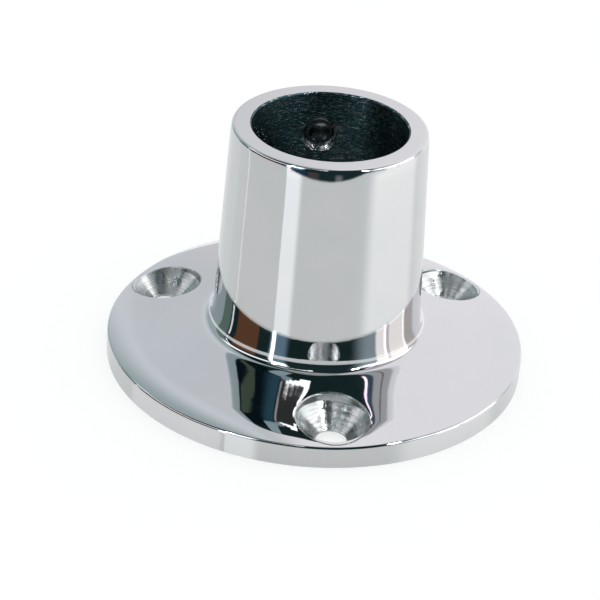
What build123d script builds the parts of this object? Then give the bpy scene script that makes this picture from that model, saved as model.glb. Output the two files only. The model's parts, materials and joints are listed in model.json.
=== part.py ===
"""Round 90-degree rail base for 25.4 mm tube: a one-piece polished casting and its set screw.

Millimetres, +Z up.  The origin is the middle of the base where it meets the deck, and the tube
socket runs up along Z.  One screw hole lies on -Y, and the set screw is opposite it, on +Y.
"""
import math
import os

from build123d import *

# Tube and socket
tube_d = 25.4
tube_clearance = 0.2        # bore over tube, on the diameter
socket_wall = 3.3           # wall at the rim
socket_draft = 2.5          # degrees, each side of the axis
overall_h = 42.7            # deck to rim
rim_round = 0.6             # outer edge of the rim
crown_h = 2.5               # the socket's side rolls inwards over this height below the rim
crown_r = 30.0
bore_edge_break = 0.25

# Base flange
flange_d = 70.6
flange_edge_h = 4.5         # to where the straight top face would meet the edge
edge_roll_w = 4.8           # outer part of the top face, which rolls down to the edge
edge_roll_r = 20.0
flange_edge_round = 0.5
dome_slope = 8.0            # degrees, top face down towards the edge
sweep_d = 45.2              # inside this diameter the top face sweeps up into the socket
sweep_fullness = 0.81       # how far each end of the sweep's curve keeps its line
neck_h = 9.27               # deck to where the sweep joins the tapered side
neck_fullness = 0.92

# Underside relief between the outer foot and the socket's foot
relief_depth = 0.8
outer_foot_w = 3.0
socket_foot_w = 3.2

# Countersunk screw holes
hole_count = 3
hole_circle_d = 57.2
hole_d = 5.0
countersink_d = 11.8
countersink_angle = 90.0
countersink_land = 0.35     # straight hole left below the countersink
front_hole_angle = -90.0    # degrees from +X

# Set screw, M6 x 1
screw_d = 5.9               # over the thread crests
screw_clearance = 0.05      # round the screw, on the radius
screw_length = 5.0
screw_drop = 7.75           # rim to screw axis
screw_setback = 1.2         # bore wall to the screw's tip
cup_d = 3.0
cup_angle = 120.0
point_chamfer = 0.9
key_flats = 3.0
key_depth = 2.0

# Sizes that follow from those above
bore_r = (tube_d + tube_clearance) / 2
rim_r = bore_r + socket_wall
flange_r = flange_d / 2
hole_circle_r = hole_circle_d / 2
draft = math.radians(socket_draft)
slope = math.radians(dome_slope)
screw_z = overall_h - screw_drop
screw_tip_y = bore_r + screw_setback


def cone_r(z):
    """Radius of the socket's tapered side at height z."""
    return rim_r + (overall_h - z) * math.tan(draft)


def dome_z(r):
    """Height of the straight part of the flange's top face at radius r."""
    return flange_edge_h + (flange_r - r) * math.tan(slope)


def crown_end():
    """Where the rolled-in side meets the rim: the crown is tangent to the tapered side."""
    end_angle = math.asin(crown_h / crown_r + math.sin(draft))
    return cone_r(overall_h - crown_h) - crown_r * (math.cos(draft) - math.cos(end_angle))


def edge_end():
    """Height at which the rolled-down outer part of the top face meets the flange's edge."""
    end_angle = math.asin(edge_roll_w / edge_roll_r + math.sin(slope))
    return dome_z(flange_r - edge_roll_w) - edge_roll_r * (math.cos(slope) - math.cos(end_angle))


def neck_corner():
    """Where the flange's straight top face would meet the socket's tapered side."""
    axis_z = dome_z(0)
    r = (rim_r + (overall_h - axis_z) * math.tan(draft)) / (1 - math.tan(slope) * math.tan(draft))
    return (r, dome_z(r))


def neck_curve(start, end):
    """One curve that leaves the top face and the tapered side each along its own line."""
    start, corner, end = Vector(*start), Vector(*neck_corner()), Vector(*end)
    return Bezier(
        start, start + (corner - start) * sweep_fullness, end + (corner - end) * neck_fullness, end
    )


def body_blank():
    """The casting turned from its half section, before it is drilled."""
    relief_in = bore_r + socket_foot_w
    relief_out = flange_r - outer_foot_w
    rim_corner = (crown_end(), overall_h)
    bore_corner = (bore_r, overall_h)
    edge_corner = (flange_r, edge_end())
    roll_start = (flange_r - edge_roll_w, dome_z(flange_r - edge_roll_w))
    sweep_start = (sweep_d / 2, dome_z(sweep_d / 2))
    neck_top = (cone_r(neck_h), neck_h)
    crown_start = (cone_r(overall_h - crown_h), overall_h - crown_h)
    with BuildPart() as blank:
        with BuildSketch(Plane.XZ) as section:
            with BuildLine():
                Polyline(
                    rim_corner,
                    bore_corner,
                    (bore_r, 0),
                    (relief_in, 0),
                    (relief_in, relief_depth),
                    (relief_out, relief_depth),
                    (relief_out, 0),
                    (flange_r, 0),
                    edge_corner,
                )
                TangentArc(roll_start, edge_corner, tangent=(math.cos(slope), -math.sin(slope)))
                Line(roll_start, sweep_start)
                neck_curve(sweep_start, neck_top)
                Line(neck_top, crown_start)
                TangentArc(crown_start, rim_corner, tangent=(-math.sin(draft), math.cos(draft)))
            make_face()
            fillet(nearest(section.vertices(), edge_corner), flange_edge_round)
            fillet(nearest(section.vertices(), rim_corner), rim_round)
            chamfer(nearest(section.vertices(), bore_corner), bore_edge_break)
        revolve(axis=Axis.Z)
    return blank.part


def nearest(vertices, corner):
    """The sketch vertex at a corner given as (radius, height)."""
    return vertices.sort_by_distance(Vector(*corner))[0]


def screw_hole():
    """Countersink and clearance hole for one fixing screw, on Z, as a solid to cut away."""
    throat_z = relief_depth + countersink_land
    cone_h = (countersink_d - hole_d) / 2 / math.tan(math.radians(countersink_angle / 2))
    cone = Pos(0, 0, throat_z) * Cone(
        hole_d / 2, countersink_d / 2, cone_h, align=(Align.CENTER, Align.CENTER, Align.MIN)
    )
    on_base = (Align.CENTER, Align.CENTER, Align.MIN)
    mouth = Pos(0, 0, throat_z + cone_h) * Cylinder(countersink_d / 2, overall_h, align=on_base)
    shank = Cylinder(hole_d / 2, throat_z, align=on_base)
    return shank + cone + mouth


def flange_base():
    """The casting with its screw holes and the tapped hole for the set screw."""
    body = body_blank()
    for place in PolarLocations(hole_circle_r, hole_count, start_angle=front_hole_angle):
        body -= place * screw_hole()
    tapped = Cylinder(
        screw_d / 2 + screw_clearance,
        flange_r,
        rotation=(-90, 0, 0),
        align=(Align.CENTER, Align.CENTER, Align.MIN),
    )
    return body - Pos(0, 0, screw_z) * tapped


def set_screw():
    """Socket set screw with a cup point, its tip set back in the wall of the socket."""
    shank = Cylinder(screw_d / 2, screw_length, align=(Align.CENTER, Align.CENTER, Align.MIN))
    tip = shank.edges().sort_by(Axis.Z)[0]
    screw = chamfer(tip, point_chamfer)
    cup_depth = cup_d / 2 / math.tan(math.radians(cup_angle / 2))
    screw -= Cone(cup_d / 2, 0, cup_depth, align=(Align.CENTER, Align.CENTER, Align.MIN))
    key = extrude(RegularPolygon(key_flats / 2, 6, major_radius=False), key_depth)
    screw -= Pos(0, 0, screw_length - key_depth) * key
    return Pos(0, screw_tip_y, screw_z) * Rot(-90, 0, 0) * screw


os.makedirs("parts", exist_ok=True)
export_step(flange_base(), "parts/flange_base.step")
export_step(set_screw(), "parts/set_screw.step")
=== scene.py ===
"""Polished round rail base for 25.4 mm tube, with its set screw, on a white sheet.

Blender metres, +Z up.  Sizes named here are millimetres and are turned into metres by MM.
"""
import json
import math

import bmesh
import bpy
from mathutils import Matrix, Vector
from mathutils.geometry import interpolate_bezier


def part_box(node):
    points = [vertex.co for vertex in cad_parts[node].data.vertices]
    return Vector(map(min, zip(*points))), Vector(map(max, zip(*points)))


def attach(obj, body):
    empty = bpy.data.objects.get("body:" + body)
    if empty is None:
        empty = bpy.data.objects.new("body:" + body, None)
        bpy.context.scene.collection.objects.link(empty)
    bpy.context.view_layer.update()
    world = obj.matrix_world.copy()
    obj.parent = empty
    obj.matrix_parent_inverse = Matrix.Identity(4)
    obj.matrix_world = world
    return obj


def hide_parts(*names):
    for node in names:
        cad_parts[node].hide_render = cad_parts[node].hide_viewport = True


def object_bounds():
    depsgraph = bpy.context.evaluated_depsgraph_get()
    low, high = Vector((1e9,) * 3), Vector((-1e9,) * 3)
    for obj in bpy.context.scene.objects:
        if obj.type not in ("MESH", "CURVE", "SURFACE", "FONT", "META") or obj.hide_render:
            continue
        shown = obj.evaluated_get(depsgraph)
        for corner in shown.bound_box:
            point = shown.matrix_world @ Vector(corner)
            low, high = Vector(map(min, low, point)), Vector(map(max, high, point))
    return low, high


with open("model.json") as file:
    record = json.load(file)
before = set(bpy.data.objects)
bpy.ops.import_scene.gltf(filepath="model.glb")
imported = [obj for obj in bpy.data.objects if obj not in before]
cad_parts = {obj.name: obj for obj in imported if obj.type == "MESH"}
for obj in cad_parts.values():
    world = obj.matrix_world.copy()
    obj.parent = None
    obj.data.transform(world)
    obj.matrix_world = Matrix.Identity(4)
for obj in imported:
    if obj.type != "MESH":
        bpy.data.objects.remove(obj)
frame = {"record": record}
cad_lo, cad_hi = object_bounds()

MM = 0.001

# Sizes read from the frame
mounts = {mount["name"]: mount for mount in frame["record"]["mounts"]}
screw_lo, screw_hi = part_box("set_screw")
flange_r = cad_hi.x / MM
overall_h = cad_hi.z / MM
bore_r = mounts["tube_socket"]["dims"]["r_mm"]
hole_circle_r = mounts["base_screws"]["dims"]["pcd_mm"] / 2
hole_count = mounts["base_screws"]["dims"]["count"]
hole_r = mounts["base_screws"]["dims"]["hole_r_mm"]
screw_axis_z = (screw_lo.z + screw_hi.z) / 2 / MM
screw_tip_y = screw_lo.y / MM
screw_length = (screw_hi.y - screw_lo.y) / MM
screw_r = (screw_hi.x - screw_lo.x) / 2 / MM

# The casting's section
rim_r = 16.1                # tapered side carried up to the rim plane
draft = math.radians(2.5)
crown_h = 2.5               # the side rolls inwards over this height below the rim
crown_r = 30.0
rim_round = 0.6
bore_break = 0.25
flange_edge_h = 4.5         # to where the straight top face would meet the edge
edge_roll_w = 4.8           # outer part of the top face, which rolls down to the edge
edge_roll_r = 20.0
edge_round = 0.5
foot_break = 0.06
dome_slope = math.radians(8.0)
sweep_r = 20.5              # inside this radius the top face sweeps up to the socket
neck_top = 12.0             # to where the sweep has left the tapered side
sweep_fullness = 0.96
neck_fullness = 1.0
relief_depth = 0.8
outer_foot_w = 3.0
socket_foot_w = 3.2

# Screw holes
countersink_r = 5.9
countersink_land = 0.35
lip_round = 0.22
lip_end = 25.0              # degrees off level at which the lip runs out into the top face
throat_break = 0.1          # where the straight hole opens into the countersink
dish_depth = 0.18           # buffing has dished the top face round each hole
dish_w = 4.5
brim_depth = 0.08           # and more so close to its edge
brim_w = 0.8
dish_from = 16.0            # the dish fades in between these radii, clear of the socket
dish_to = 22.0

# Thread of the set screw, M6 x 1
pitch = 1.0
tapped_crest_r = 2.52       # crests of the tapped hole, over the screw's roots
tapped_root_r = 3.02
tapped_length = 8.0         # long enough to pass right through the wall
mouth_r = 3.12              # where the tapped hole opens into the bore
mouth_depth = 0.62
thread_root_r = 2.42
crest_clearance = 0.01      # keeps the thread's crests inside the screw's own envelope
cup_r = 1.8
cup_depth = 0.87
cup_lip_w = 0.15            # the cup's edge flattens out over this width
cup_lip_depth = 0.12
cup_edge = 0.02
point_chamfer = 0.7
back_chamfer = 0.45         # at the end with the key socket
key_flats = 3.0
key_depth = 2.0

spin_steps = 360
hole_steps = 144            # round each screw hole
screw_steps = 96            # round the screw's envelope and the tapped hole's mouth
thread_steps = 64           # a turn, tapped hole
screw_thread_steps = 72     # a turn, screw
neck_rows = 44
join = 0.0005               # vertices closer than this are one
guard = 0.12                # rows this close to each end of a straight keep its shading true


def cone_r(z):
    """Radius of the socket's tapered side at height z."""
    return rim_r + (overall_h - z) * math.tan(draft)


def dome_z(r):
    """Height of the straight part of the flange's top face at radius r."""
    return flange_edge_h + (flange_r - r) * math.tan(dome_slope)


roll_start = Vector((flange_r - edge_roll_w, dome_z(flange_r - edge_roll_w)))
roll_centre = roll_start - edge_roll_r * Vector((math.sin(dome_slope), math.cos(dome_slope)))


def top_z(r):
    """Height of the flange's top face at radius r, its rolled-down outer part included."""
    if r < roll_start.x:
        return dome_z(r)
    return roll_centre.y + math.sqrt(edge_roll_r ** 2 - (r - roll_centre.x) ** 2)


def hole_angles():
    """Directions of the screw holes; the first is on -Y."""
    return [-math.pi / 2 + math.tau * i / hole_count for i in range(hole_count)]


def dish(x, y):
    """How far buffing has lowered the top face at a point."""
    away = min(math.hypot(x - hole_circle_r * math.cos(a), y - hole_circle_r * math.sin(a))
               for a in hole_angles())
    away = max(away - countersink_r, 0)
    fade = min(max((math.hypot(x, y) - dish_from) / (dish_to - dish_from), 0), 1)
    fade = fade ** 3 * (10 - 15 * fade + 6 * fade ** 2)
    return fade * dish_depth * math.exp(-(away / dish_w) ** 2) + brim_depth * math.exp(-away / brim_w)


# ---------------------------------------------------------------- section curves

def straight(start, end, step=3.0):
    """Points from start to end, with a row close to each end."""
    start, end = Vector(start), Vector(end)
    length = (end - start).length
    if length < 4 * guard:
        return [start, end]
    along = (end - start) / length
    count = max(1, round((length - 2 * guard) / step))
    inner = (length - 2 * guard) / count
    return [start] + [start + along * (guard + inner * i) for i in range(count + 1)] + [end]


def arc(centre, radius, start, end, steps):
    """Points on an arc, angles in degrees from the radial direction."""
    centre = Vector(centre)
    angles = [math.radians(start + (end - start) * i / steps) for i in range(steps + 1)]
    return [centre + radius * Vector((math.cos(a), math.sin(a))) for a in angles]


def round_inside(centre, radius, size, across=None, height=None):
    """Centre of a round that touches a larger arc from inside and an upright or level line."""
    reach = radius - size
    if across is not None:
        x = across - size
        return Vector((x, centre.y + math.sqrt(reach ** 2 - (x - centre.x) ** 2)))
    y = height - size
    return Vector((centre.x + math.sqrt(reach ** 2 - (y - centre.y) ** 2), y))


def lean_of(point, centre):
    """The angle of a point about a centre, in degrees from the radial direction."""
    return math.degrees(math.atan2(point.y - centre.y, point.x - centre.x))


def casting_section():
    """Half section of the casting, from the foot of the bore up, over the rim and round."""
    crown_start = Vector((cone_r(overall_h - crown_h), overall_h - crown_h))
    crown_centre = crown_start - crown_r * Vector((math.cos(draft), math.sin(draft)))
    rim_centre = round_inside(crown_centre, crown_r, rim_round, height=overall_h)
    rim_lean = lean_of(rim_centre, crown_centre)
    edge_centre = round_inside(roll_centre, edge_roll_r, edge_round, across=flange_r)
    edge_lean = lean_of(edge_centre, roll_centre)

    slope = math.tan(dome_slope)
    corner_r = (rim_r + (overall_h - dome_z(0)) * math.tan(draft)) / (1 - slope * math.tan(draft))
    corner = Vector((corner_r, dome_z(corner_r)))
    neck_end = Vector((cone_r(neck_top), neck_top))
    sweep_start = Vector((sweep_r, dome_z(sweep_r)))
    neck = interpolate_bezier(
        neck_end, neck_end.lerp(corner, neck_fullness), sweep_start.lerp(corner, sweep_fullness),
        sweep_start, neck_rows)

    relief_in = bore_r + socket_foot_w
    relief_out = flange_r - outer_foot_w
    points = straight((bore_r, 0), (bore_r, overall_h - bore_break), 2.0)
    points += straight((bore_r + bore_break, overall_h), (rim_centre.x, overall_h), 1.0)
    points += arc(rim_centre, rim_round, 90, rim_lean, 12)[1:]
    points += arc(crown_centre, crown_r, rim_lean, math.degrees(draft), 12)[1:]
    points += straight(crown_start, neck_end, 3.0)[1:]
    points += [Vector((p[0], p[1])) for p in neck[1:]]
    points += straight(sweep_start, roll_start, 0.45)[1:]
    points += arc(roll_centre, edge_roll_r, 90 - math.degrees(dome_slope), edge_lean, 20)[1:]
    points += arc(edge_centre, edge_round, edge_lean, 0, 12)[1:]
    points += straight((flange_r, edge_centre.y), (flange_r, foot_break), 1.0)[1:]
    points += [Vector((flange_r - foot_break, 0)), Vector((relief_out, 0))]
    points += [Vector((relief_out, relief_depth))]
    points += straight((relief_out, relief_depth), (relief_in, relief_depth), 3.0)[1:]
    points += [Vector((relief_in, 0))]
    return points


# ---------------------------------------------------------------- mesh helpers

def turned(points, steps=spin_steps):
    """A closed form turned round Z from its half section of (radius, height) points."""
    bm = bmesh.new()
    ring = [bm.verts.new((p[0] * MM, 0, p[1] * MM)) for p in points]
    edges = [bm.edges.new(pair) for pair in zip(ring, ring[1:] + ring[:1])]
    bmesh.ops.spin(
        bm, geom=ring + edges, cent=(0, 0, 0), axis=(0, 0, 1), angle=math.tau, steps=steps,
        use_merge=True)
    bmesh.ops.remove_doubles(bm, verts=bm.verts, dist=join * MM)
    bmesh.ops.recalc_face_normals(bm, faces=bm.faces)
    return bm


def threaded(crest, root, start, end, steps=thread_steps):
    """A right-hand threaded rod along Z from start to end, flat at both ends."""
    flank = (crest - root) * math.tan(math.radians(30))
    root_flat = pitch - pitch / 8 - 2 * flank
    first = math.floor(start) - 2
    turns = math.ceil(end) - first + 1
    heights = (0, root_flat, root_flat + flank, root_flat + flank + pitch / 8, pitch)
    radii = (root, root, crest, crest, root)
    bm = bmesh.new()
    line = [bm.verts.new((r * MM, 0, (first + h) * MM)) for r, h in zip(radii, heights)]
    edges = [bm.edges.new(pair) for pair in zip(line, line[1:])]
    bmesh.ops.spin(
        bm, geom=line + edges, cent=(0, 0, 0), axis=(0, 0, 1), dvec=(0, 0, pitch * MM / steps),
        angle=math.tau * turns, steps=steps * turns)
    bmesh.ops.remove_doubles(bm, verts=bm.verts, dist=join * MM)
    for height, side in ((start, -1), (end, 1)):
        geom = bm.verts[:] + bm.edges[:] + bm.faces[:]
        bmesh.ops.bisect_plane(
            bm, geom=geom, plane_co=(0, 0, height * MM), plane_no=(0, 0, side), clear_outer=True)
        rim = [e for e in bm.edges if e.is_boundary and all(
            abs(v.co.z - height * MM) < 0.001 * MM for v in e.verts)]
        bmesh.ops.holes_fill(bm, edges=rim, sides=0)
    bmesh.ops.recalc_face_normals(bm, faces=bm.faces)
    return bm


def finish_of(bm, index, test=None):
    """Gives the faces that pass the test, or all of them, that finish."""
    for face in bm.faces:
        if test is None or test(face):
            face.material_index = index


def new_object(bm, name, finishes):
    """The bmesh as an object with its finishes in order."""
    mesh = bpy.data.meshes.new(name)
    bm.to_mesh(mesh)
    bm.free()
    for finish in finishes:
        mesh.materials.append(finish)
    piece = bpy.data.objects.new(name, mesh)
    bpy.context.scene.collection.objects.link(piece)
    return piece


def carve(piece, cutters, operation="DIFFERENCE"):
    """Takes each cutter out of the piece, or keeps what they share, and deletes the cutters."""
    for cutter in cutters:
        step = piece.modifiers.new("carve", "BOOLEAN")
        step.operation = operation
        step.solver = "EXACT"
        step.object = cutter
    bpy.context.view_layer.update()
    graph = bpy.context.evaluated_depsgraph_get()
    mesh = bpy.data.meshes.new_from_object(piece.evaluated_get(graph), depsgraph=graph)
    piece.modifiers.clear()
    old, piece.data = piece.data, mesh
    mesh.name = piece.name
    bpy.data.meshes.remove(old)
    for cutter in cutters:
        bpy.data.meshes.remove(cutter.data)


def tidy(piece, sharp=15.0):
    """Merges doubles, smooths the faces and keeps true corners sharp."""
    bm = bmesh.new()
    bm.from_mesh(piece.data)
    bmesh.ops.remove_doubles(bm, verts=bm.verts, dist=0.0004 * MM)
    bmesh.ops.dissolve_degenerate(bm, edges=bm.edges, dist=0.0002 * MM)
    for face in bm.faces:
        face.smooth = True
    for edge in bm.edges:
        if len(edge.link_faces) != 2:
            edge.smooth = True
            continue
        one, other = edge.link_faces
        corner = edge.calc_face_angle(0) > math.radians(sharp)
        edge.smooth = not corner and one.material_index == other.material_index
    bm.to_mesh(piece.data)
    bm.free()


along_y = Matrix.Rotation(math.radians(-90), 4, "X")
screw_place = Matrix.Translation((0, screw_tip_y * MM, screw_axis_z * MM)) @ along_y


# ---------------------------------------------------------------- cutters

def countersink_cutter(angle, finishes):
    """The form that a screw hole takes out of the flange: throat, 90 degree cone, wall and lip."""
    throat_z = relief_depth + countersink_land
    cone_top = throat_z + countersink_r - hole_r
    ground = top_z(hole_circle_r)
    lip = arc((countersink_r + lip_round, -lip_round), lip_round, 180, 90 + lip_end, 5)
    out = Vector((math.cos(math.radians(lip_end)), math.sin(math.radians(lip_end))))
    throat_r = hole_r + throat_break
    points = [(0, -1), (hole_r, -1), (hole_r, throat_z - throat_break), (throat_r, throat_z)]
    points += straight((throat_r, throat_z + throat_break), (countersink_r, cone_top), 0.7)
    points += [(p.x, p.y + ground) for p in lip]
    end = lip[-1] + out * 0.4
    points += [(end.x, end.y + ground), (end.x, ground + 3), (0, ground + 3)]
    bm = turned(points, hole_steps)
    place = Vector((math.cos(angle), math.sin(angle))) * hole_circle_r * MM
    for vert in bm.verts:
        vert.co.x += place.x
        vert.co.y += place.y
        if vert.co.z > (ground - lip_round - 0.01) * MM:
            vert.co.z += (
                top_z(min(vert.co.xy.length / MM, flange_r)) - ground - dish_depth - brim_depth) * MM
    finish_of(bm, COUNTERSINK)
    return new_object(bm, "countersink_cutter", finishes)


def tap_cutter(finishes):
    """The threaded form that the tapped hole takes out of the socket's wall."""
    start = bore_r - 1.0 - screw_tip_y
    bm = threaded(tapped_root_r, tapped_crest_r, start, start + tapped_length)
    bm.transform(screw_place)
    finish_of(bm, THREAD)
    return new_object(bm, "tap_cutter", finishes)


def mouth_cutter(finishes):
    """The bevelled mouth of the tapped hole, bent to follow the bore."""
    points = [(0, -2), (mouth_r, -2)]
    points += straight((mouth_r, 0), (tapped_crest_r - 0.1, mouth_depth + 0.1), 0.2)
    points += [(0, mouth_depth + 0.1)]
    bm = turned(points, screw_steps)
    for vert in bm.verts:
        across = vert.co.x / MM
        vert.co.z += (math.sqrt(bore_r ** 2 - across ** 2) - screw_tip_y) * MM
    bm.transform(screw_place)
    finish_of(bm, THREAD)
    return new_object(bm, "mouth_cutter", finishes)


# ---------------------------------------------------------------- pieces

OUTSIDE, BORE, COUNTERSINK, UNDERSIDE, THREAD = range(5)


def make_casting(finishes):
    """The one-piece casting: flange and socket, drilled, countersunk and tapped."""
    bm = turned(casting_section())
    for vert in bm.verts:
        if vert.co.xy.length > dish_from * MM and (relief_depth + 1) * MM < vert.co.z < neck_top * MM:
            vert.co.z -= dish(vert.co.x / MM, vert.co.y / MM) * MM
    small = 0.01 * MM
    finish_of(bm, OUTSIDE)
    finish_of(bm, UNDERSIDE, lambda f: (
        f.calc_center_median().z < relief_depth * MM + small and f.normal.z < 0.3
        and f.calc_center_median().xy.length < (flange_r - 0.4) * MM))
    finish_of(bm, BORE, lambda f: (
        f.calc_center_median().xy.length < (bore_r + bore_break) * MM - small))
    casting = new_object(bm, "polished_casting", finishes)
    cutters = [countersink_cutter(angle, finishes) for angle in hole_angles()]
    carve(casting, cutters + [tap_cutter(finishes), mouth_cutter(finishes)])
    tidy(casting)
    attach(casting, "flange")
    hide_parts("flange_base")


def make_set_screw(finishes):
    """The socket set screw with its rolled thread, cup point and hexagon key socket."""
    bm = threaded(
        screw_r - crest_clearance, thread_root_r, -1, screw_length + 1, screw_thread_steps)
    screw = new_object(bm, "threaded_set_screw", finishes)
    point_r = screw_r - point_chamfer
    body = [(0, cup_depth), (cup_r - cup_lip_w, cup_lip_depth), (cup_r, cup_edge), (point_r, 0)]
    body += straight((point_r, 0), (screw_r, point_chamfer), 0.5)[1:]
    body += [(screw_r, screw_length - back_chamfer), (screw_r - back_chamfer, screw_length)]
    body += [(0, screw_length)]
    envelope = turned(body, screw_steps)
    finish_of(envelope, 1)
    carve(screw, [new_object(envelope, "screw_envelope", finishes)], "INTERSECT")
    key = bmesh.new()
    key_r = key_flats / math.sqrt(3) * MM
    bmesh.ops.create_cone(
        key, segments=6, radius1=key_r, radius2=key_r, depth=(key_depth + 1) * MM, cap_ends=True)
    bmesh.ops.translate(key, verts=key.verts, vec=(0, 0, (screw_length - key_depth / 2 + 0.5) * MM))
    finish_of(key, 1)
    carve(screw, [new_object(key, "key_cutter", finishes)])
    screw.data.transform(screw_place)
    tidy(screw, 25.0)
    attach(screw, "clamp_screw")
    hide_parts("set_screw")


# ---------------------------------------------------------------- camera

def make_camera():
    """A long lens from the front, above and a little to the left, rolled slightly."""
    heading, pitch_down, roll = math.radians(7.286), math.radians(30.057), math.radians(4.12)
    forward = Vector((
        math.sin(heading) * math.cos(pitch_down), math.cos(heading) * math.cos(pitch_down),
        -math.sin(pitch_down)))
    right = Vector((math.cos(heading), -math.sin(heading), 0))
    up = right.cross(forward)
    turned_right = right * math.cos(roll) + up * math.sin(roll)
    turned_up = up * math.cos(roll) - right * math.sin(roll)
    place = Matrix((turned_right, turned_up, -forward)).transposed().to_4x4()
    place.translation = Vector((-43.5, -317.2, 195.1)) * MM
    lens = bpy.data.cameras.new("camera")
    lens.lens = 131.15
    lens.clip_start = 0.01
    camera = bpy.data.objects.new("camera", lens)
    camera.matrix_world = place
    bpy.context.scene.collection.objects.link(camera)
    bpy.context.scene.camera = camera


# ---------------------------------------------------------------- node helpers

def node(tree, kind, inputs=None, **settings):
    """Adds a node; inputs are values or sockets by name or number."""
    made = tree.nodes.new(kind)
    for name, value in settings.items():
        setattr(made, name, value)
    for key, value in (inputs or {}).items():
        if isinstance(value, bpy.types.NodeSocket):
            tree.links.new(value, made.inputs[key])
        else:
            made.inputs[key].default_value = value
    return made


def maths(tree, operation, *values):
    """The result of a Math node."""
    return node(tree, "ShaderNodeMath", dict(enumerate(values)), operation=operation).outputs[0]


def ramp(tree, value, low, high, to_low=0.0, to_high=1.0):
    """Value carried smoothly from low..high to to_low..to_high."""
    made = node(tree, "ShaderNodeMapRange", {
        "Value": value, "From Min": low, "From Max": high, "To Min": to_low, "To Max": to_high})
    made.interpolation_type = "SMOOTHSTEP"
    return made.outputs[0]


def mixed(tree, factor, first, second):
    """A colour between first and second."""
    made = node(tree, "ShaderNodeMix", data_type="RGBA")
    for number, value in ((0, factor), (6, first), (7, second)):
        socket = made.inputs[number]
        if isinstance(value, bpy.types.NodeSocket):
            tree.links.new(value, socket)
        elif isinstance(value, tuple):
            socket.default_value = (*value, 1)
        else:
            socket.default_value = value
    return made.outputs[2]


def new_finish(name):
    """A material with an empty tree and its surface shader."""
    finish = bpy.data.materials.new(name)
    finish.use_nodes = True
    tree = finish.node_tree
    tree.nodes.clear()
    output = node(tree, "ShaderNodeOutputMaterial")
    shader = node(tree, "ShaderNodeBsdfPrincipled")
    tree.links.new(shader.outputs[0], output.inputs[0])
    return finish, tree, shader


def object_point(tree, scale=(1, 1, 1)):
    """Object coordinates in millimetres, stretched by scale."""
    coords = node(tree, "ShaderNodeTexCoord").outputs["Object"]
    return node(tree, "ShaderNodeVectorMath", {
        0: coords, 1: tuple(s / MM for s in scale)}, operation="MULTIPLY").outputs[0]


# ---------------------------------------------------------------- finishes

def polished_steel():
    """Mirror-polished cast stainless, with the faint haze and ripple of hand polishing."""
    finish, tree, shader = new_finish("polished_steel")
    point = object_point(tree)
    haze = node(tree, "ShaderNodeTexNoise", {"Vector": point, "Scale": 0.12, "Detail": 3.0}).outputs[0]
    tone = mixed(tree, ramp(tree, haze, 0.3, 0.7), (0.69, 0.70, 0.71), (0.71, 0.715, 0.72))
    tree.links.new(tone, shader.inputs["Base Color"])
    tree.links.new(ramp(tree, haze, 0.35, 0.7, 0.02, 0.045), shader.inputs["Roughness"])
    ripple = node(tree, "ShaderNodeTexNoise", {"Vector": point, "Scale": 0.35, "Detail": 2.0}).outputs[0]
    bump = node(tree, "ShaderNodeBump", {"Height": ripple, "Strength": 1.0, "Distance": 0.006 * MM})
    tree.links.new(bump.outputs[0], shader.inputs["Normal"])
    shader.inputs["Metallic"].default_value = 1.0
    return finish


def turned_bore():
    """The bored inside of the socket, its base a painted shade: dark teal standing in for the dark room
    the bore mirrors, broken by paler torn turning marks; its fine turning rings draw lights out upwards.
    """
    finish, tree, shader = new_finish("turned_bore")
    rings = node(tree, "ShaderNodeTexNoise", {
        "Vector": object_point(tree, (0.35, 0.35, 9.0)), "Scale": 1.0, "Detail": 3.0}).outputs[0]
    torn = node(tree, "ShaderNodeTexNoise", {
        "Vector": object_point(tree, (1.1, 1.1, 5.5)), "Scale": 1.0, "Detail": 4.0}).outputs[0]
    # painted shade: the dark teal tone stands in for the shaded inside of the bore and its dark
    # reflection; the torn noise lets paler steel through
    tone = mixed(tree, ramp(tree, torn, 0.46, 0.70), (0.028, 0.085, 0.095), (0.44, 0.48, 0.50))
    tree.links.new(tone, shader.inputs["Base Color"])
    tree.links.new(ramp(tree, torn, 0.4, 0.7, 0.30, 0.16), shader.inputs["Roughness"])
    shader.inputs["Anisotropic"].default_value = 0.97
    shader.inputs["Anisotropic Rotation"].default_value = 0.25
    around = node(tree, "ShaderNodeTangent", direction_type="RADIAL", axis="Z")
    tree.links.new(around.outputs[0], shader.inputs["Tangent"])
    height = maths(tree, "MULTIPLY_ADD", torn, 1.2, rings)
    bump = node(tree, "ShaderNodeBump", {"Height": height, "Strength": 1.0, "Distance": 0.06 * MM})
    tree.links.new(bump.outputs[0], shader.inputs["Normal"])
    shader.inputs["Metallic"].default_value = 1.0
    return finish


def turned_countersink():
    """Countersinks buffed soft after the cutter, with fine rings left in them."""
    finish, tree, shader = new_finish("turned_countersink")
    rings = node(tree, "ShaderNodeTexNoise", {
        "Vector": object_point(tree, (0.15, 0.15, 4.5)), "Scale": 1.0, "Detail": 4.0}).outputs[0]
    cloud = node(tree, "ShaderNodeTexNoise", {
        "Vector": object_point(tree), "Scale": 0.35, "Detail": 2.0}).outputs[0]
    tone = mixed(tree, ramp(tree, rings, 0.35, 0.65), (0.48, 0.51, 0.51), (0.68, 0.70, 0.70))
    tree.links.new(tone, shader.inputs["Base Color"])
    tree.links.new(ramp(tree, cloud, 0.35, 0.7, 0.22, 0.34), shader.inputs["Roughness"])
    height = maths(tree, "MULTIPLY_ADD", cloud, 5.0, rings)
    bump = node(tree, "ShaderNodeBump", {"Height": height, "Strength": 1.0, "Distance": 0.02 * MM})
    tree.links.new(bump.outputs[0], shader.inputs["Normal"])
    shader.inputs["Metallic"].default_value = 1.0
    return finish


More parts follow.
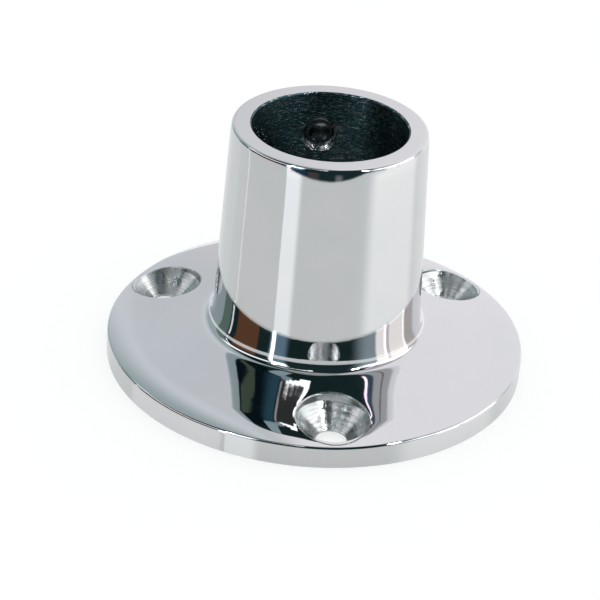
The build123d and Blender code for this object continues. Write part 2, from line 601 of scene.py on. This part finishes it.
def cast_underside():
    """The underside as cast and linished: dull grey with a fine pebble."""
    finish, tree, shader = new_finish("cast_underside")
    pebble = node(tree, "ShaderNodeTexNoise", {
        "Vector": object_point(tree), "Scale": 1.6, "Detail": 5.0}).outputs[0]
    tone = mixed(tree, ramp(tree, pebble, 0.35, 0.65), (0.36, 0.36, 0.36), (0.48, 0.48, 0.47))
    tree.links.new(tone, shader.inputs["Base Color"])
    tree.links.new(ramp(tree, pebble, 0.35, 0.65, 0.38, 0.52), shader.inputs["Roughness"])
    bump = node(tree, "ShaderNodeBump", {"Height": pebble, "Strength": 1.0, "Distance": 0.06 * MM})
    tree.links.new(bump.outputs[0], shader.inputs["Normal"])
    shader.inputs["Metallic"].default_value = 1.0
    return finish


def thread_steel(name, dark, light):
    """Cut or rolled steel of the threads and the screw's ends, a little worn."""
    finish, tree, shader = new_finish(name)
    wear = node(tree, "ShaderNodeTexNoise", {
        "Vector": object_point(tree), "Scale": 2.5, "Detail": 4.0}).outputs[0]
    tree.links.new(mixed(tree, ramp(tree, wear, 0.35, 0.65), dark, light), shader.inputs["Base Color"])
    tree.links.new(ramp(tree, wear, 0.35, 0.7, 0.12, 0.24), shader.inputs["Roughness"])
    bump = node(tree, "ShaderNodeBump", {"Height": wear, "Strength": 1.0, "Distance": 0.006 * MM})
    tree.links.new(bump.outputs[0], shader.inputs["Normal"])
    shader.inputs["Metallic"].default_value = 1.0
    return finish


# ---------------------------------------------------------------- the studio

# What the polish mirrors, a later one in front of those before it: azimuth from and to (degrees
# to the right of the camera's side), how soft its left and right edges are, height from and to
# (degrees), how soft those edges are, and its colour and brightness.  Only mirrored rays see it.
surroundings = (
    ("pale wall, left", -200, -118, 30, 5, -60, 130, 5, (0.40, 0.48, 0.50)),
    ("pale wall, behind on the left", -200, -150, 30, 22, -60, 130, 5, (0.74, 0.78, 0.83)),
    ("grey wall, right", 48, 90, 24, 5, -60, 44, 10, (0.34, 0.42, 0.46)),
    ("grey wall, high on the right", 86, 190, 6, 24, -60, 130, 5, (0.54, 0.54, 0.56)),
    ("white wall, behind on the right", 127, 184, 10, 24, -60, 130, 5, (0.98, 0.97, 1.01)),
    ("white sheet, right", 68, 112, 4, 4, -60, 44, 4, (1.40, 1.30, 1.28)),
    ("bright ceiling over the sheet", 54, 120, 16, 16, 17, 38, 4, (2.0, 2.0, 2.0)),
    ("window edge, right", 78.5, 81.5, 1.5, 1.5, -60, 16, 4, (2.2, 2.1, 2.2)),
    ("shade beside it", 82, 85.5, 2, 2, -60, 16, 4, (0.85, 0.75, 0.80)),
    ("second window edge", 106.5, 109, 1.5, 1.5, -60, 16, 4, (1.9, 1.8, 1.8)),
    ("pillar, right", 110, 126, 2, 4, -60, 16, 4, (0.66, 0.60, 0.60)),
    ("pink light, right", 76.5, 80.5, 1.5, 1.5, 46, 57, 2, (2.4, 2.0, 2.4)),
    ("violet shade beside it", 80.5, 90, 1.5, 5, 45, 60, 2, (0.06, 0.10, 0.145)),
    ("dark stripe", 104.5, 108.5, 2, 2, 44, 62, 2, (0.25, 0.25, 0.25)),
    ("dark corner, left", -117, -56, 3, 14, 40, 62, 4, (0.003, 0.010, 0.014)),
    ("olive patch, above", -113, -82, 3, 3, 48.4, 51.1, 0.6, (0.075, 0.105, 0.075)),
    ("olive wall, left", -118, -103, 3, 3, -60, 38, 3, (0.15, 0.22, 0.19)),
    ("narrow window, left", -101, -98.6, 1.2, 1.2, 5, 30, 2, (1.2, 1.2, 1.3)),
    ("door, left", -91, -61, 2, 2, -60, 15, 2, (0.15, 0.068, 0.035)),
    ("pale panel, left", -116, -48, 6, 3, 29, 42, 4, (1.3, 1.3, 1.35)),
    ("blue shade, above left", -60, -42, 26, 3, 47, 62, 3, (0.03, 0.09, 0.13)),
    ("brown shade, above", -40, -3, 3, 3, 47, 58, 3, (0.045, 0.050, 0.045)),
    ("ceiling, above left", -66, -39, 4, 3, 57, 72, 1.5, (0.38, 0.50, 0.54)),
    ("ceiling beside it", -42, -25, 3, 3, 55.8, 60, 1.2, (0.34, 0.42, 0.48)),
    ("lamp frame", -39.5, -36.5, 1.2, 1.2, 50, 54.8, 1.2, (0.50, 0.47, 0.48)),
    ("lamp, its left end", -32, -26, 2, 1, 55.3, 56.6, 0.7, (1.9, 1.9, 1.85)),
    ("lamp, above on the left", -28, -19, 2, 2, 56.0, 58.0, 0.8, (2.2, 2.2, 2.2)),
    ("lamp, above", -20.5, -12.5, 2, 2, 56.6, 59.2, 0.8, (2.4, 2.4, 2.45)),
    ("lamp, above on the right", -13.5, 2, 2, 1.5, 57.0, 61.5, 0.8, (2.6, 2.6, 2.65)),
    ("lamp, its right end", -4.5, 1.5, 1, 1.5, 53, 58, 1, (2.4, 2.4, 2.5)),
    ("blue light beside the window", -47, -28, 2, 8, -60, 16, 4, (0.17, 0.27, 0.36)),
    ("tall window, left", -45, -41, 1.5, 1.5, -60, 17, 2, (3.0, 3.05, 3.2)),
    ("tall window, its upper panes", -45.5, -28, 1.5, 7, 17, 45, 3, (2.25, 2.3, 2.35)),
    ("ceiling overhead", -200, 200, 1, 1, 78, 130, 4, (0.38, 0.39, 0.40)),
    ("high light, left", -47, -43, 1.5, 1.5, 37.5, 46, 1.5, (20.0, 20.0, 20.2)),
    ("high light, right", 47, 54, 2, 2, 37.5, 46, 1.5, (55.0, 55.0, 56.0)),
    ("blue cloth in front, left", -62, -24, 8, 6, -60, -13, 3, (0.010, 0.045, 0.085)),
    ("brown box in front", -21, -9, 5, 6, -60, -14, 3, (0.065, 0.055, 0.058)),
    ("pale box in front", 10, 17, 5, 5, -60, -15.5, 3, (0.18, 0.18, 0.19)),
)
room_shade = (0.012, 0.028, 0.030)
camera_side = math.radians(-7.8)    # the camera's side of the object, from -Y towards +X
diffuse_room = (0.9, 0.9, 0.9)      # what lights everything that isn't a mirror
camera_white = (1.0, 1.0, 1.0)
floor_white = 0.75          # the sheet's own level to the camera, and as the metal mirrors it
floor_in_metal = 0.50
floor_gloss = 0.5
floor_half_w = 1.5          # metres
sheet_front = 136.0         # from the object's middle to the sheet's front edge
sheet_fade = 16.0           # over this width its front edge is out of focus


def make_world():
    """The mirrored room for glossy rays, an even pale one for diffuse rays, white to the camera."""
    world = bpy.data.worlds.new("studio")
    bpy.context.scene.world = world
    world.use_nodes = True
    tree = world.node_tree
    tree.nodes.clear()
    direction = node(tree, "ShaderNodeTexCoord").outputs["Generated"]
    x, y, z = node(tree, "ShaderNodeSeparateXYZ", {0: direction}).outputs
    azimuth = maths(tree, "ARCTAN2", x, maths(tree, "MULTIPLY", y, -1.0))
    azimuth = maths(tree, "WRAP", maths(tree, "SUBTRACT", azimuth, camera_side), math.pi, -math.pi)
    azimuth = maths(tree, "MULTIPLY", azimuth, 180 / math.pi)
    height = maths(tree, "MULTIPLY", maths(tree, "ARCSINE", z), 180 / math.pi)
    colour = room_shade
    for _, left, right, soft_left, soft_right, low, high, soft, shade in surroundings:
        middle, half = (left + right) / 2, (right - left) / 2
        off = maths(tree, "WRAP", maths(tree, "SUBTRACT", azimuth, middle), 180.0, -180.0)
        factor = maths(
            tree, "MULTIPLY",
            ramp(tree, off, -half - soft_left / 2, -half + soft_left / 2),
            ramp(tree, off, half + soft_right / 2, half - soft_right / 2))
        for edge, way in ((low, 1), (high, -1)):
            step = ramp(tree, height, edge - way * soft / 2, edge + way * soft / 2)
            factor = maths(tree, "MULTIPLY", factor, step)
        colour = mixed(tree, factor, colour, shade)
    rays = node(tree, "ShaderNodeLightPath").outputs
    room = mixed(tree, rays["Is Glossy Ray"], diffuse_room, colour)
    seen = mixed(tree, rays["Is Camera Ray"], room, camera_white)
    background = node(tree, "ShaderNodeBackground", {0: seen, 1: 1.0})
    output = node(tree, "ShaderNodeOutputWorld")
    tree.links.new(background.outputs[0], output.inputs[0])


def make_floor():
    """A white sheet under the object, its front edge square to the camera's side."""
    finish, tree, shader = new_finish("white_sheet")
    rays = node(tree, "ShaderNodeLightPath").outputs
    shader.inputs["Base Color"].default_value = (0.30, 0.30, 0.30, 1)
    shader.inputs["Roughness"].default_value = 0.03
    shader.inputs["IOR"].default_value = 1.8
    gloss = maths(tree, "MULTIPLY", rays["Is Glossy Ray"], floor_gloss)
    tree.links.new(gloss, shader.inputs["Specular IOR Level"])
    shader.inputs["Emission Color"].default_value = (0.98, 1.0, 1.0, 1)
    glow = maths(tree, "MULTIPLY", rays["Is Camera Ray"], floor_white)
    glow = maths(tree, "MULTIPLY_ADD", rays["Is Glossy Ray"], floor_in_metal, glow)
    tree.links.new(glow, shader.inputs["Emission Strength"])
    coords = node(tree, "ShaderNodeTexCoord").outputs["Object"]
    to_camera = (math.sin(camera_side), -math.cos(camera_side), 0)
    forward = node(tree, "ShaderNodeVectorMath", {
        0: coords, 1: to_camera}, operation="DOT_PRODUCT").outputs["Value"]
    faded = ramp(tree, forward, (sheet_front - sheet_fade) * MM, sheet_front * MM, 1.0, 0.0)
    tree.links.new(faded, shader.inputs["Alpha"])
    bm = bmesh.new()
    bmesh.ops.create_grid(bm, x_segments=1, y_segments=1, size=floor_half_w)
    bmesh.ops.translate(
        bm, verts=bm.verts, vec=(0, floor_half_w - sheet_front * MM, cad_lo.z - 0.02 * MM))
    bmesh.ops.rotate(bm, verts=bm.verts, matrix=Matrix.Rotation(camera_side, 3, "Z"))
    floor = new_object(bm, "floor", [finish])


bpy.context.scene.view_settings.view_transform = "Standard"
make_camera()
make_world()
make_floor()
make_casting([
    polished_steel(), turned_bore(), turned_countersink(), cast_underside(),
    # painted highlight: the tapped thread's steel is set lighter than the polish so its crescent shows
    # lit; the wear mottling between the two levels is its own
    thread_steel("tapped_thread", (0.72, 0.72, 0.73), (0.88, 0.88, 0.89))])
make_set_screw([
    thread_steel("screw_thread", (0.16, 0.16, 0.16), (0.28, 0.28, 0.28)),
    thread_steel("screw_ends", (0.20, 0.20, 0.20), (0.34, 0.34, 0.34))])
